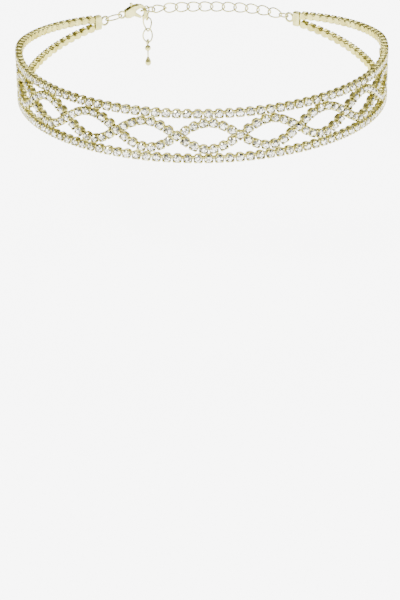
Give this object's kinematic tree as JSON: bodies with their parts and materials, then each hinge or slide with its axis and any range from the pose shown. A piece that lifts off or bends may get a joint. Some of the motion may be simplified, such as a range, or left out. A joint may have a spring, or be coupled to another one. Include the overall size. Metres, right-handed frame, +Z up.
{
  "type": "choker necklace",
  "caption": "Rhinestone cup-chain choker: two rows of stones, two crossing strands between them, end bars, lobster clasp and extender chain with a drop.",
  "frame": {"origin": "middle of the ring at the mid height of the band, where the neck passes through", "axes": "+Z up along the neck, the middle of the front faces -Y, the clasp and the extender chain are at +Y, +X is the end with the extender"},
  "size_m": [0.1144, 0.113, 0.0266],
  "materials": {
    "stone_chain": "pale gold plated cups with clear cut stones",
    "pale_gold": "polished pale gold plating",
    "crystal": "clear faceted crystal with a foiled back"
  },
  "bodies": {
    "root": {"top_row": "stone_chain", "bottom_row": "stone_chain", "crossed_strands": "stone_chain", "end_bar_left": "pale_gold", "end_bar_right": "pale_gold", "clasp_joiner": "pale_gold", "clasp_body": "pale_gold", "hooked_link": "pale_gold", "extender_link_1": "pale_gold", "extender_link_2": "pale_gold", "extender_link_3": "pale_gold", "extender_link_4": "pale_gold", "extender_link_5": "pale_gold", "extender_link_6": "pale_gold", "extender_link_7": "pale_gold", "extender_link_8": "pale_gold", "extender_link_9": "pale_gold", "extender_link_10": "pale_gold", "extender_link_11": "pale_gold", "extender_joiner": "pale_gold", "tail_link_1": "pale_gold", "tail_link_2": "pale_gold", "tail_link_3": "pale_gold", "tail_drop": "pale_gold", "tail_bead": "pale_gold"},
    "lever": {"clasp_lever": "pale_gold"}
  },
  "joints": [
    {"name": "lever_pivot", "type": "hinge", "parent": "root", "child": "lever", "pos_m": [-0.02141, 0.05084, 0.00131], "axis": [0.3172, -0.9484, 0], "range_deg": [0, 18], "stiffness_Nm_per_rad": 0.0004, "springref_deg": -17.19}
  ]
}
